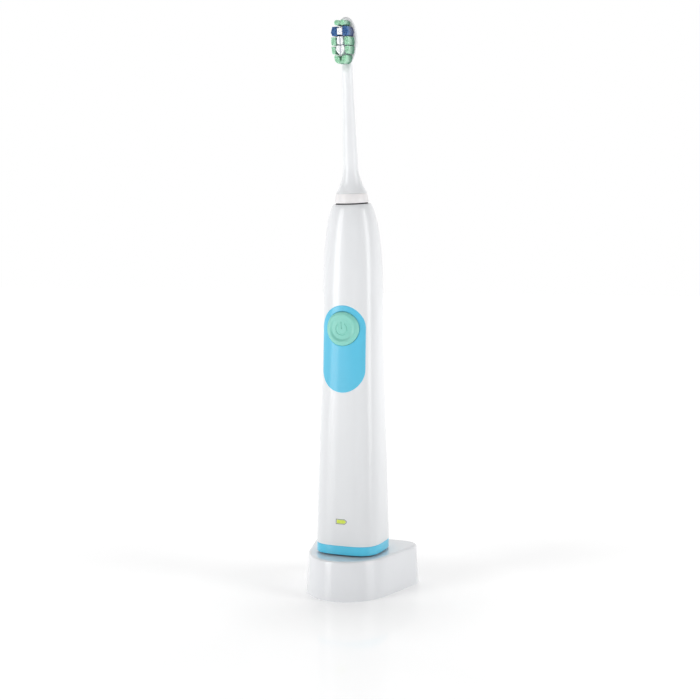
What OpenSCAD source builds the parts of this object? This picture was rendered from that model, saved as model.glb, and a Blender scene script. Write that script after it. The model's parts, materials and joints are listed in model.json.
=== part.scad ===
// Sonic toothbrush standing on the post of its charger. Millimetres, +Z up, front of the brush towards -Y.
// The origin is on the axis of the charging post, in the plane of the surface that the charger stands on.

/* [Charger] */
// Height of the charger's top above the table
charger_h = 18.9; // [18:0.1:19.4]
// Half width of the charger at the post
charger_half_w = 20.4; // [19.6:0.1:22]
// Distance from the post to the charger's rounded front
charger_front = 25.7; // [24:0.1:27]
// Distance from the post to the charger's flat back
charger_back = 26.3; // [26:0.1:30]
// Angle at which the charger's sides open towards the back, in degrees
charger_flare = 14.3; // [10:0.1:15]
// Wall thickness of the charger
charger_wall = 1.8; // [1.5:0.1:2.2]
// Radius of the charging post
post_r = 4.4; // [4.2:0.1:4.6]

/* [Handle] */
// Half width of the handle at its lower end
handle_half_w = 15.7; // [15.2:0.1:16.2]
// Half width of the handle where the shoulder starts
shoulder_half_w = 13.6; // [13.2:0.1:14]
// Height at which the shoulder starts
shoulder_z = 150; // [146:1:152]
// Height of the neck, where the brush head meets the handle
neck_z = 184; // [182:1:188]
// Radius of the neck
neck_r = 8.06; // [8:0.02:8.4]
// How far the neck sits in front of the post's axis
neck_forward = 1.7; // [1.4:0.1:2]
// Forward lean of the drive shaft and brush head, in degrees
lean = 5.6; // [5:0.1:6]
// Wall thickness of the handle
handle_wall = 1.7; // [1.5:0.1:1.8]
// Height of the coloured ring at the handle's lower end
ring_h = 4.5; // [4:0.1:4.8]

/* [Grip and button] */
// Width of the grip panel
grip_w = 21.2; // [19:0.2:21.6]
// Height of the grip panel's lower end
grip_bottom = 96; // [94:1:100]
// Height of the grip panel's upper end
grip_top = 136.7; // [136:0.1:138]
// Diameter of the power button
button_d = 15.8; // [15:0.1:16]
// Height of the power button's centre
button_z = 125.8; // [125:0.1:126.2]
// Travel of the power button
button_travel = 0.8; // [0.5:0.1:0.8]

/* [Brush head] */
// Length of the brush head along the shaft, from the neck
head_len = 84.75; // [84:0.05:87]
// Width of the oval plate that carries the tufts
plate_w = 10.7; // [10.6:0.1:11.4]
// Length of the tufts
tuft_len = 7.2; // [6.5:0.1:9]
// Radius of the slim part of the brush head, below the plate
stem_r = 2.5; // [2.4:0.05:2.6]

/* [Drive] */
// Radius of the drive shaft where the brush head fits
shaft_r = 1.95; // [1.85:0.05:2]

/* [Hidden] */
$fn = 64;

gap = 0.3;                 // clearance between bodies that lie close together
touch = 0.02;              // clearance between pieces that sit against each other

// Charger
base_z = 0.4;              // underside of the base plate
foot_h = 1.0;              // the rubber foot ring reaches from the table up into the base plate
foot_inset = 3.2;
foot_w = 2.0;
base_t = 2.0;
top_t = 2.0;
draft = 1.15;              // the charger is this much larger all round at the table
back_corner_r = 8.7;
post_h = 13;
post_top = charger_h + post_h;
post_wall = 1.0;
boss_spots = [[0, -16.8], [16, 17.5], [-16, 17.5]];
boss_r = 3;
boss_bore_r = 1.2;
gland_z = 7.2;
gland_r = 3.4;
cord_r = 2.1;

// Handle
ring_z = charger_h + 0.5;  // underside of the handle's lower end
housing_z = ring_z + ring_h;
bottom_power = 3.3;        // the handle's section is a superellipse: squarer below, round at the neck
shoulder_power = 2.4;
socket_r = post_r + gap;
socket_top = post_top + 0.8;
pcb_front = -8.6;
pcb_t = 1.0;
light_z = 35.4;
cell_r = 7;
cell_y = 1.5;
cell_z = [40, 90];
grip_back = -10.9;         // the grip panel is flat behind
button_front = -15.3;
button_back = -12.6;
plunger_back = -10.35;

// Drive, measured along the shaft's own axis from the neck
shaft_inner_r = 2.5;
shaft_tip = 20;
seal_lip_r = 2.6;
bush_r = 4.0;
fit = 0.05;                // radial running clearance
lower_bush_s = [-44.5, -40];
upper_bush_s = [-13.5, -9];
rail_x = [8, 9.2];
rail_y = 3.5;
magnet_s = [-52, -49.02];
core_s = [-70.4, -53.2];

// Brush head, measured along the same axis
head_s = 0.35;
head_ring_h = 4.35;
collar_r = 7.3;            // radius of the shank where it leaves the ring
plate_front = -0.8;
plate_back = 2.1;
plate_half_len = 10.7;
plate_s = head_len - plate_half_len;

function lerp(a, b, t) = a + (b - a) * t;
function clamp01(t) = max(0, min(1, t));

// ---- Outlines ----

// A superellipse of half width w and power n
function superellipse(w, n, steps = 48) = [
    for (i = [0 : steps - 1])
        let (a = 360 * i / steps, c = cos(a), s = sin(a))
        [w * sign(c) * pow(abs(c), 2 / n), w * sign(s) * pow(abs(s), 2 / n)]
];

// Outline of the charger, g larger all round: part of an ellipse in front, straight sides that touch it and
// open towards the back, and two round corners
function charger_outline(g = 0, steps = 24) =
    let (
        w = charger_half_w + g,
        f = charger_front + g,
        r = back_corner_r + g,
        t = atan(f * tan(charger_flare) / w),
        corner_y = charger_back + g - r,
        corner_x = w * cos(t) + ((corner_y + f * sin(t)) * sin(charger_flare) - r) / cos(charger_flare)
    )
    concat(
        [for (i = [0 : steps]) let (a = lerp(180 + t, 360 - t, i / steps)) [w * cos(a), f * sin(a)]],
        [for (i = [0 : 8]) let (a = lerp(-charger_flare, 90, i / 8))
            [corner_x + r * cos(a), corner_y + r * sin(a)]],
        [for (i = [0 : 8]) let (a = lerp(90, 180 + charger_flare, i / 8))
            [-corner_x + r * cos(a), corner_y + r * sin(a)]]
    );

// Outline of the lit battery sign: a bar with a pointed end
function battery_sign(g = 0) = [
    [-2.7 - g, -1.25 - g], [1.6 + g, -1.25 - g], [2.7 + g, -0.45 - g], [2.7 + g, 0.45 + g],
    [1.6 + g, 1.25 + g], [-2.7 - g, 1.25 + g]
];

// ---- Solids shared by several sub-parts ----

// A closed skin through rings of points, each ring with the same number of points
module loft(rings) {
    n = len(rings[0]);
    last = (len(rings) - 1) * n;
    faces = concat(
        [[for (i = [0 : n - 1]) i]],
        [for (k = [0 : len(rings) - 2]) for (i = [0 : n - 1])
            [k * n + i, (k + 1) * n + i, (k + 1) * n + (i + 1) % n]],
        [for (k = [0 : len(rings) - 2]) for (i = [0 : n - 1])
            [k * n + i, (k + 1) * n + (i + 1) % n, k * n + (i + 1) % n]],
        [[for (i = [0 : n - 1]) last + n - 1 - i]]
    );
    polyhedron(points = [for (r = rings) each r], faces = faces);
}

module tube(r_in, r_out, z0, z1) {
    translate([0, 0, z0])
        difference() {
            cylinder(r = r_out, h = z1 - z0);
            translate([0, 0, -1])
                cylinder(r = r_in, h = z1 - z0 + 2);
        }
}

module rod(r, z0, z1) {
    translate([0, 0, z0])
        cylinder(r = r, h = z1 - z0);
}

// A box between two values on each axis
module block(x, y, z) {
    translate([x[0], y[0], z[0]])
        cube([x[1] - x[0], y[1] - y[0], z[1] - z[0]]);
}

module slab(points, z0, z1) {
    translate([0, 0, z0])
        linear_extrude(z1 - z0)
            polygon(points);
}

// A ring between two outlines
module outline_ring(outer, inner, z0, z1) {
    difference() {
        slab(outer, z0, z1);
        slab(inner, z0 - 1, z1 + 1);
    }
}

// Places its children along +Y, starting at y, with their own X and Z kept as X and height
module facing_front(y, z) {
    translate([0, y, z])
        rotate([90, 0, 0])
            children();
}

// Places its children on the leaning axis of the drive, whose zero is at the neck
module on_shaft() {
    translate([0, -neck_forward, neck_z])
        rotate([lean, 0, 0])
            children();
}

// ---- The handle's shape ----

lean_start = neck_z - 2 * neck_forward / tan(lean);

// The handle's centre line runs straight up and then curves forward to meet the leaning shaft
function centre_y(z) = z < lean_start ? 0 : -neck_forward * pow((z - lean_start) / (neck_z - lean_start), 2);
function centre_lean(z) =
    z < lean_start ? 0 : atan(2 * neck_forward * (z - lean_start) / pow(neck_z - lean_start, 2));
function shoulder_t(z) = clamp01((z - shoulder_z) / (neck_z - shoulder_z));
function side_w(z) = lerp(handle_half_w, shoulder_half_w, (z - housing_z) / (shoulder_z - housing_z));
function handle_w(z) =
    z < shoulder_z ? side_w(z)
    : neck_r + (shoulder_half_w - neck_r) * pow(1 - pow(shoulder_t(z), 1.85), 1 / 1.85);
function handle_power(z) =
    z < shoulder_z ? lerp(bottom_power, shoulder_power, clamp01((z - housing_z) / (shoulder_z - housing_z)))
    : lerp(shoulder_power, 2, shoulder_t(z));

// One ring of the handle's skin, inset from the outside, square to the centre line
function handle_ring(z, inset = 0, steps = 48) =
    let (a = centre_lean(z), y0 = centre_y(z))
    [for (p = superellipse(handle_w(z) - inset, handle_power(z), steps))
        [p[0], y0 + p[1] * cos(a), z + p[1] * sin(a)]];

side_levels = [for (i = [0 : 6]) lerp(housing_z, shoulder_z, i / 6)];
shoulder_levels = [for (i = [1 : 9]) lerp(shoulder_z, neck_z - 0.25, sin(90 * i / 9))];

module handle_skin(inset = 0, z_low = housing_z, z_high = neck_z) {
    loft([
        for (z = concat([z_low], side_levels, shoulder_levels))
            if (z == z_low || (z > z_low + 0.1 && z < z_high))
                handle_ring(z, inset)
    ]);
}

module grip_outline(g = 0) {
    r = grip_w / 2 + g;
    translate([0, grip_bottom + grip_w / 2])
        circle(r = r);
    translate([0, grip_top - grip_w / 2])
        circle(r = r);
    translate([-r, grip_bottom + grip_w / 2])
        square([2 * r, grip_top - grip_bottom - grip_w]);
}

// ---- Charger ----

module charger_skin(inset, z0, z1) {
    edge = 0.8;
    loft([
        for (level = [[z0, 0], [z1 - edge, 0], [z1 - 0.3 * edge, 0.25 * edge], [z1, edge]])
            [for (p = charger_outline(draft * (1 - level[0] / charger_h) - inset - level[1]))
                [p[0], p[1], level[0]]]
    ]);
}

module charger_shell() {
    color("whitesmoke")
        difference() {
            union() {
                difference() {
                    charger_skin(0, gap, charger_h);
                    slab(charger_outline(-charger_wall), -1, charger_h - top_t);
                }
                rod(post_r, charger_h - top_t, post_top);
                for (spot = boss_spots)
                    translate([spot[0], spot[1], 0])
                        rod(boss_r, base_z + base_t + touch, charger_h - 1);
            }
            rod(post_r - post_wall, charger_h - top_t - 1, post_top - post_wall);
            for (spot = boss_spots)
                translate([spot[0], spot[1], 0])
                    rod(boss_bore_r, 0, charger_h - 2 * top_t);
            facing_front(charger_back + 4, gland_z)
                rod(gland_r + fit, 0, 10);
        }
}

module charger_base_plate() {
    color("gainsboro")
        difference() {
            slab(charger_outline(-charger_wall - 0.1), base_z, base_z + base_t);
            outline_ring(charger_outline(-foot_inset), charger_outline(-foot_inset - foot_w), -1, foot_h);
            for (spot = boss_spots)
                translate([spot[0], spot[1], 0]) {
                    rod(boss_bore_r + 0.2, -1, base_z + base_t + 1);
                    rod(2.5, -1, base_z + 1.2);
                }
        }
}

module charger_foot_ring() {
    color("dimgray")
        outline_ring(
            charger_outline(-foot_inset - fit),
            charger_outline(-foot_inset - foot_w + fit),
            0, foot_h - touch
        );
}

module charger_screws() {
    color("silver")
        for (spot = boss_spots)
            translate([spot[0], spot[1], 0])
                difference() {
                    union() {
                        rod(2.3, base_z + 0.1, base_z + 1.15);
                        rod(boss_bore_r - touch, base_z + 0.5, 11);
                    }
                    for (a = [0, 90])
                        rotate([0, 0, a])
                            block([-1.4, 1.4], [-0.25, 0.25], [0, base_z + 0.6]);
                }
}

module charger_core() {
    color("dimgray")
        rod(2.0, 3, post_top - post_wall - 0.7);
}

module charger_bobbin() {
    color("black") {
        difference() {
            union() {
                rod(2.5, charger_h + 0.5, post_top - 1.9);
                rod(3.25, charger_h + 0.5, charger_h + 1.3);
                rod(3.25, post_top - 2.7, post_top - 1.9);
            }
            rod(2.0 + touch, 0, post_top);
        }
    }
}

module charger_coil() {
    color("peru")
        tube(2.5 + touch, 3.2, charger_h + 1.3 + touch, post_top - 2.7 - touch);
}

module charger_pcb() {
    color("darkgreen")
        difference() {
            block([-10.5, 10.5], [5, 22], [4, 5.2]);
            for (x = [-8.5, 8.5])
                translate([x, 7, 0])
                    rod(1.2, 3, 6);
            facing_front(charger_back + 4, gland_z)
                rod(gland_r + 1.4, 0, 10);
        }
}

module charger_capacitors() {
    color("steelblue") {
        translate([-6, 14, 9.25])
            rotate([90, 0, 0])
                rod(4, -5, 5);
        block([3, 9.5], [14.5, 18.5], [5.2 + touch, 13]);
    }
}

module charger_chips() {
    color("black") {
        for (x = [0.5, 4.5, 8])
            block([x, x + 2.4], [9.5, 12.5], [5.2 + touch, 7]);
        translate([0.4, 7, 6.5])
            rotate([0, 90, 0])
                rod(1.2, 0, 6);
    }
}

module cord_gland() {
    inside = charger_back - 5;
    outside = charger_back + 2;
    color("lightgray")
        translate([0, 0, gland_z])
            rotate([-90, 0, 0])
                difference() {
                    union() {
                        rod(gland_r, inside, outside);
                        rod(gland_r + 1.2, inside, charger_back - charger_wall - 0.1);
                    }
                    rod(cord_r, inside - 1, outside + 1);
                }
}

// ---- Handle ----

module light_hole(g, y0, y1) {
    facing_front(y1, light_z)
        linear_extrude(y1 - y0)
            polygon(battery_sign(g));
}

module handle_housing() {
    pocket = 25;
    color("white")
        difference() {
            handle_skin();
            handle_skin(handle_wall, housing_z - 2, neck_z - 6);
            on_shaft()
                rod(neck_r - 2.4, -12, 3);
            facing_front(grip_back, 0)
                linear_extrude(pocket)
                    grip_outline(fit);
            light_hole(fit, -20, -10);
        }
}

module grip_panel() {
    flange_y = button_back - 0.2;
    color("skyblue")
        difference() {
            intersection() {
                handle_skin();
                facing_front(grip_back - touch, 0)
                    linear_extrude(10)
                        grip_outline();
            }
            facing_front(grip_back + 1, button_z)
                rod(button_d / 2 + 0.25, 0, 10);
            facing_front(grip_back + 1, button_z)
                rod(button_d / 2 + 1.3, 0, grip_back + 1 - flange_y);
        }
}

module button_seal() {
    color("dimgray")
        facing_front(grip_back - touch, button_z)
            tube(2.4, button_d / 2 + 1.2, 0, 0.25);
}

module power_button() {
    r = button_d / 2;
    color("mediumaquamarine")
        facing_front(0, button_z)
            rotate_extrude()
                polygon([
                    [0, -button_back - 1.4], [2.2, -button_back - 1.4], [2.2, -button_back - 0.6],
                    [r + 1, -button_back - 0.6], [r + 1, -button_back], [r, -button_back],
                    [r, -button_front - 0.6], [r - 0.5, -button_front - 0.1], [r - 1.1, -button_front],
                    [r - 1.7, -button_front - 0.1], [r - 2.2, -button_front - 0.5], [0, -button_front - 0.9]
                ]);
}

module switch_plunger() {
    color("black")
        facing_front(plunger_back, button_z)
            rod(1.5, 0, plunger_back - button_back - 1.4 - touch);
}

module switch_body() {
    color("dimgray")
        difference() {
            block([-2.6, 2.6], [plunger_back + fit, pcb_front - touch], [button_z - 2.6, button_z + 2.6]);
            facing_front(plunger_back + button_travel + 0.25, button_z)
                rod(1.6, 0, 3);
        }
}

module battery_light() {
    color("yellowgreen")
        light_hole(0, -handle_w(light_z) - 0.02, -9.9);
}

module end_ring() {
    color("deepskyblue")
        outline_ring(
            superellipse(handle_half_w, bottom_power),
            superellipse(handle_half_w - 1.3, bottom_power),
            ring_z + gap, housing_z - touch
        );
}

module end_cap() {
    flange_w = handle_half_w - 1.4;
    skirt_w = handle_half_w - handle_wall - 0.2;
    color("gray")
        difference() {
            union() {
                difference() {
                    union() {
                        slab(superellipse(flange_w, bottom_power), ring_z, housing_z - touch);
                        slab(superellipse(skirt_w, bottom_power), housing_z - touch, housing_z + 6.5);
                    }
                    slab(superellipse(skirt_w - 1.7, bottom_power), ring_z + 1.8, housing_z + 8);
                    outline_ring(
                        superellipse(skirt_w + 1, bottom_power),
                        superellipse(skirt_w - 0.9, bottom_power),
                        housing_z + 2.4, housing_z + 4
                    );
                }
                rod(socket_r + 1.2, ring_z, socket_top + 1.4);
            }
            rod(socket_r, ring_z - 1, socket_top);
        }
}

module end_cap_seal() {
    skirt_w = handle_half_w - handle_wall - 0.2;
    color("dimgray")
        outline_ring(
            superellipse(skirt_w + 0.1, bottom_power),
            superellipse(skirt_w - 0.85, bottom_power),
            housing_z + 2.45, housing_z + 3.95
        );
}

module receive_bobbin() {
    r = socket_r + 1.2 + touch;
    color("black") {
        tube(r, r + 0.5, ring_z + 2.4, socket_top + 1.2);
        tube(r + 0.5, r + 3.4, ring_z + 2.4, ring_z + 3.2);
        tube(r + 0.5, r + 3.4, socket_top + 0.4, socket_top + 1.2);
    }
}

module receive_coil() {
    r = socket_r + 1.7 + 2 * touch;
    color("peru")
        tube(r, r + 2.4, ring_z + 3.2 + touch, socket_top + 0.4 - touch);
}

module chassis() {
    side = [9.4, 10.6];
    depth = [-7.4, 6];
    color("lightgray")
        difference() {
            union() {
                for (s = [-1, 1])
                    scale([s, 1, 1])
                        block(side, depth, [36, 116]);
                block([-9.5, 9.5], [-7.4, -6.2], [36, 108]);
                block([-9.5, 9.5], [-7, 6], [36, 38.2]);
                block([-9.5, 9.5], [-7, 6], [92.2, 94.4]);
                block([-9.5, 9.5], [-7, 8], [104, 106]);
            }
            for (z = [50, 66, 82])
                block([-4, 4], [-8, -6], [z - 5, z + 5]);
        }
}

module battery_cell() {
    color("royalblue")
        translate([0, cell_y, 0]) {
            rod(cell_r, cell_z[0], cell_z[1] - 1.2);
            rod(3, cell_z[1] - 1.2, cell_z[1]);
        }
}

module battery_tabs() {
    color("silver")
        for (z = [cell_z[0] - 0.5, cell_z[1] + touch])
            block([-2, 2], [-5.5, 6], [z, z + 0.4]);
}

module battery_cushion() {
    color("gray")
        block([-5, 5], [cell_y + cell_r + 0.05, cell_y + cell_r + 1.8], [50, 80]);
}

module main_pcb() {
    color("darkgreen")
        difference() {
            block([-8.5, 8.5], [pcb_front, pcb_front + pcb_t], [34, 137]);
            for (z = [44, 100])
                facing_front(pcb_front + 3, z)
                    rod(1.1, 0, 6);
        }
}

module pcb_chips() {
    color("black") {
        block([-3, 3], [pcb_front - 1.2, pcb_front - touch], [62, 68]);
        block([2, 6], [pcb_front - 1.2, pcb_front - touch], [74, 79]);
        block([-6, -2], [pcb_front - 1.2, pcb_front - touch], [80, 84]);
        for (z = [52, 56, 88, 92, 96, 110])
            block([-2, 0.5], [pcb_front - 0.8, pcb_front - touch], [z, z + 1.6]);
    }
}

module status_led() {
    color("khaki")
        block([-1.4, 1.4], [pcb_front - 1.1, pcb_front - touch], [light_z - 0.8, light_z + 0.8]);
}

// ---- Drive train ----

module motor_frame() {
    color("silver")
        on_shaft()
            difference() {
                union() {
                    for (s = [-1, 1])
                        scale([s, 1, 1])
                            block(rail_x, [-rail_y, rail_y], [-73.2, -9.5]);
                    block([-8.5, 8.5], [-rail_y, rail_y], [-73.2, core_s[0] - touch]);
                    block([-8.5, 8.5], [-4.6, 4.6], [-44, -40.5]);
                    block([-8.5, 8.5], [-4.6, 4.6], [-13, -9.5]);
                }
                rod(bush_r, -46, -38);
                rod(bush_r, -15, -7);
            }
}

module stator_core() {
    color("gray")
        on_shaft() {
            block([-6.8, 6.8], [-3.4, 3.4], [core_s[0], core_s[0] + 4]);
            block([-1.8, 1.8], [-3.4, 3.4], [core_s[0] + 4, core_s[1]]);
            for (s = [-1, 1])
                scale([s, 1, 1])
                    block([4.9, 6.8], [-3.4, 3.4], [core_s[0] + 4, core_s[1]]);
        }
}

module stator_bobbin() {
    color("black")
        on_shaft()
            difference() {
                union() {
                    block([-2.4, 2.4], [-4, 4], [-66.3, -54.5]);
                    block([-4.7, 4.7], [-6.2, 6.2], [-66.3, -65.5]);
                    block([-4.7, 4.7], [-6.2, 6.2], [-55.3, -54.5]);
                }
                block([-1.85, 1.85], [-3.45, 3.45], [-70, -50]);
            }
}

module stator_coil() {
    color("peru")
        on_shaft()
            difference() {
                block([-4.5, 4.5], [-6, 6], [-65.45, -55.35]);
                block([-2.45, 2.45], [-4.05, 4.05], [-70, -50]);
            }
}

module lower_bush() {
    color("tan")
        on_shaft()
            tube(shaft_inner_r + fit, bush_r - touch, lower_bush_s[0], lower_bush_s[1]);
}

module upper_bush() {
    color("tan")
        on_shaft()
            tube(shaft_inner_r + fit, bush_r - touch, upper_bush_s[0], upper_bush_s[1]);
}

module drive_shaft() {
    color("silver")
        on_shaft()
            difference() {
                union() {
                    rod(shaft_inner_r, magnet_s[1] + touch, -7);
                    rod(4.4, -39.9, -38.2);
                    rod(shaft_r, -7, shaft_tip - 0.6);
                    translate([0, 0, shaft_tip - 0.6])
                        cylinder(r1 = shaft_r, r2 = shaft_r - 0.6, h = 0.6);
                }
                block([-3, 3], [1.45, 3], [10, shaft_tip + 1]);
            }
}

module magnet_carrier() {
    color("dimgray")
        on_shaft()
            difference() {
                union() {
                    block([-6.2, 6.2], [-rail_y, rail_y], [magnet_s[1] + touch, -46.6]);
                    rod(3.9, -46.6, -45);
                }
                rod(shaft_inner_r, -50, -40);
            }
}

module drive_magnets() {
    color("slategray")
        on_shaft()
            for (s = [-1, 1])
                scale([s, 1, 1])
                    block([0.6, 6.2], [-rail_y, rail_y], magnet_s);
}

// A round wire wound into a helix round the shaft
module torsion_spring() {
    turns = 6;
    wire_r = 0.55;
    coil_r = 3.6;
    sides = 8;
    per_turn = 12;
    s0 = -37.4;
    s1 = -14.2;
    function wire_ring(i) =
        let (t = i / (turns * per_turn), a = 360 * turns * t)
        [for (k = [0 : sides - 1])
            let (b = 360 * k / sides, r = coil_r + wire_r * cos(b))
            [r * cos(a), r * sin(a), lerp(s0, s1, t) + wire_r * sin(b)]];
    color("silver")
        on_shaft()
            loft([for (i = [turns * per_turn : -1 : 0]) wire_ring(i)]);
}

module neck_collar() {
    color("lightgray")
        on_shaft()
            difference() {
                rod(neck_r - 2.45, -6.5, -0.6);
                rod(3, -8, 0);
                tube(neck_r - 3.2, neck_r, -4.2, -2.8);
            }
}

module neck_oring() {
    color("dimgray")
        on_shaft()
            tube(neck_r - 3.15, neck_r - 2.45, -4.15, -2.85);
}

module neck_seal() {
    color("dimgray")
        on_shaft() {
            tube(shaft_r + fit, 2.98, -6, -0.8);
            tube(shaft_r + fit, seal_lip_r, -0.8, 0.9);
            tube(shaft_r + fit, neck_r - 0.46, -0.23, head_s - gap);
        }
}

// ---- Brush head ----

// Radius of the brush head at distance s from the neck: a flared collar, then a slow taper
function shank_r(s) =
    let (
        flare = clamp01((s - head_s - head_ring_h) / 14),
        stem_top_r = 3.45,
        taper = clamp01((s - 18) / 40)
    )
    lerp(stem_top_r, stem_r, taper) + (collar_r - stem_top_r) * pow(1 - flare, 2.2);

function plate_outline(g = 0, steps = 36) = [
    for (i = [0 : steps - 1]) let (a = 360 * i / steps)
        [(plate_w / 2 + g) * cos(a), plate_s + (plate_half_len + g) * sin(a)]
];

module head_shank() {
    base = head_s + head_ring_h + touch;
    stem_end = 64;
    levels = concat([for (i = [0 : 14]) base + i], [30, 44, 58, stem_end - 2]);
    color("white")
        on_shaft()
            difference() {
                union() {
                    rotate_extrude()
                        polygon(concat(
                            [[0, 1], [6.1, 1], [6.1, base]],
                            [for (s = levels) [shank_r(s), s]],
                            [[1.2, stem_end], [0, stem_end]]
                        ));
                    facing_front(plate_back, 0)
                        linear_extrude(plate_back - plate_front)
                            polygon(plate_outline());
                }
                rod(5.2, 0, 6);
                translate([0, 0, 6 - touch])
                    cylinder(r1 = 5.2, r2 = shaft_r + fit, h = 4);
                rod(shaft_r + fit, 5, shaft_tip + 0.8);
            }
}

module head_ring() {
    color("linen")
        on_shaft()
            difference() {
                translate([0, 0, head_s])
                    cylinder(r1 = neck_r, r2 = collar_r, h = head_ring_h);
                rod(6.1 + touch, -1, 6);
            }
}

module head_clip() {
    color("silver")
        on_shaft()
            tube(shaft_r + fit, 4.2, 4.4, 6.9);
}

// One tuft of bristles: a prism that stands on the plate. Its outline is measured from the plate's middle.
module tuft(points) {
    facing_front(plate_front - touch, 0)
        linear_extrude(tuft_len)
            polygon(points);
}

module round_tuft(x, s, r) {
    translate([x, 0, s])
        facing_front(plate_front - touch, 0)
            rod(r, 0, tuft_len);
}

// The same tuft on the left and the right of the plate
module tuft_pair(points) {
    tuft(points);
    mirror([1, 0, 0])
        tuft(points);
}

module on_plate() {
    on_shaft()
        translate([0, 0, plate_s])
            children();
}

module tufts_green() {
    lowest = [[0.2, -9.3], [1.3, -10.0], [2.5, -9.0], [3.1, -7.4], [2.6, -6.7], [0.9, -7.1]];
    color("mediumseagreen")
        on_plate() {
            for (x = [-1.3, 1.3])
                round_tuft(x, 7.6, 1.25);
            tuft_pair([[2.3, -2.3], [4.1, -2.3], [4.3, -0.6], [4.1, 1.3], [2.2, 1.3]]);
            tuft_pair([[2.6, -6.2], [3.8, -6.2], [4.1, -4.6], [4.2, -2.8], [2.4, -2.8]]);
            tuft_pair(lowest);
        }
}

module tufts_blue() {
    color("royalblue")
        on_plate()
            tuft_pair([[1.4, 1.8], [3.6, 1.8], [4.3, 3.4], [3.5, 5.9], [1.5, 5.9]]);
}

module tufts_white() {
    color("aliceblue")
        on_plate() {
            tuft([[-1.2, 2.4], [1.2, 2.4], [1.2, 5.3], [-1.2, 5.3]]);
            tuft_pair([[0.2, -2.1], [1.2, -1.9], [1.5, -0.4], [1.2, 1.4], [0.2, 1.6]]);
            tuft_pair([[0.15, -6.6], [1.1, -5.9], [2.1, -4.2], [1.7, -2.6], [0.2, -2.5]]);
        }
}

charger_shell();
charger_base_plate();
charger_foot_ring();
charger_screws();
charger_core();
charger_bobbin();
charger_coil();
charger_pcb();
charger_capacitors();
charger_chips();
cord_gland();
handle_housing();
grip_panel();
button_seal();
battery_light();
end_ring();
end_cap();
end_cap_seal();
receive_bobbin();
receive_coil();
chassis();
battery_cell();
battery_tabs();
battery_cushion();
main_pcb();
pcb_chips();
status_led();
switch_body();
motor_frame();
stator_core();
stator_bobbin();
stator_coil();
lower_bush();
upper_bush();
torsion_spring();
neck_collar();
neck_oring();
neck_seal();
power_button();
switch_plunger();
drive_shaft();
magnet_carrier();
drive_magnets();
head_shank();
head_ring();
head_clip();
tufts_green();
tufts_blue();
tufts_white();
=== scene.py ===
"""Looks of the electric toothbrush on its charger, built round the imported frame.

Shapes are worked out in millimetres in the frame's own axes (+Z up, the front faces -Y) and turned into
metres when a piece is made. Everything on the drive is worked out along the leaning shaft, from the neck.
"""

import json
import math
import random

import bpy
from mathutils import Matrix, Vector


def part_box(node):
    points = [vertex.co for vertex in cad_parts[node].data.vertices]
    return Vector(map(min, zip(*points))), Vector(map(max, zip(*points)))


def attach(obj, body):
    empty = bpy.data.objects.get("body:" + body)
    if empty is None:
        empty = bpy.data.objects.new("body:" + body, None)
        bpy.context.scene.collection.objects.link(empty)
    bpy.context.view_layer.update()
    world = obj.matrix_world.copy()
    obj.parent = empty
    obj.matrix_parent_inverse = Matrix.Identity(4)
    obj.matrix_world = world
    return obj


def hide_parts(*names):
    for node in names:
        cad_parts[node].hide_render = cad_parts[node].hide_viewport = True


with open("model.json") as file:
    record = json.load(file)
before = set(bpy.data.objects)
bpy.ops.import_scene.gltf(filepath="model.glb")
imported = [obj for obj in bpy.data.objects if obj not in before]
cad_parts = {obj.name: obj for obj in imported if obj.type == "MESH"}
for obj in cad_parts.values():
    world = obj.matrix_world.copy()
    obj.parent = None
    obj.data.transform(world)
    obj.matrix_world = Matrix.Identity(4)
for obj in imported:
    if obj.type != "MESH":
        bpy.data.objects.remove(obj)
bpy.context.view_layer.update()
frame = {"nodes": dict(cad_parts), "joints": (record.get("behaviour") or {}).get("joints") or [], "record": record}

MM = 0.001
random.seed(7)


# ---------------------------------------------------------------- sizes from the frame

def box_mm(node):
    low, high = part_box(node)
    return low / MM, high / MM


JOINTS = {joint["name"]: joint for joint in frame["joints"]}
NECK = Vector(JOINTS["drive_swing"]["pos_m"]) / MM
SHAFT = Vector(JOINTS["drive_swing"]["axis"]).normalized()
LEAN = math.atan2(-SHAFT.y, SHAFT.z)

housing_low, housing_high = box_mm("handle_housing")
shell_low, shell_high = box_mm("charger_shell")
button_low, button_high = box_mm("power_button")
panel_low, panel_high = box_mm("grip_panel")
band_low, band_high = box_mm("end_ring")
light_low, light_high = box_mm("battery_light")
gland_low, gland_high = box_mm("cord_gland")
collar_low, collar_high = box_mm("head_ring")

# Charger
CHARGER_FOOT = shell_low.z
CHARGER_HALF_W = 20.4
CHARGER_FRONT = 25.7
CHARGER_BACK = gland_high.y - 2
CHARGER_FLARE = math.radians(14.3)
CHARGER_CORNER = 8.7
CHARGER_DRAFT = 1.15
CHARGER_WALL = 1.8
POST_R = 4.4
POST_TOP = shell_high.z
CHARGER_TOP = POST_TOP - 13
GLAND_Z = (gland_low.z + gland_high.z) / 2
GLAND_BORE = 2.1
GLAND_R = 3.4

# Handle
FOOT_Z = housing_low.z
FOOT_W = housing_high.x
FOOT_POWER = 3.3
SHOULDER_Z = 150
SHOULDER_W = 13.6
SHOULDER_POWER = 2.4
SHOULDER_CURVE = 1.85
NECK_R = (collar_high.x - collar_low.x) / 2
NECK_BORE = NECK_R - 2.4
HANDLE_WALL = 1.7
LEAN_START = NECK.z - 2 * -NECK.y / math.tan(LEAN)

# Grip panel, button and battery sign
PANEL_R = (panel_high.x - panel_low.x) / 2
PANEL_BOTTOM = panel_low.z
PANEL_TOP = panel_high.z
BUTTON_Z = (button_low.z + button_high.z) / 2
BUTTON_R = (button_high.x - button_low.x) / 2 - 1
BUTTON_FRONT = button_low.y
BUTTON_BACK = button_high.y
SIGN_Z = (light_low.z + light_high.z) / 2
SIGN_HALF_W = (light_high.x - light_low.x) / 2
SIGN_HALF_H = (light_high.z - light_low.z) / 2

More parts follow.
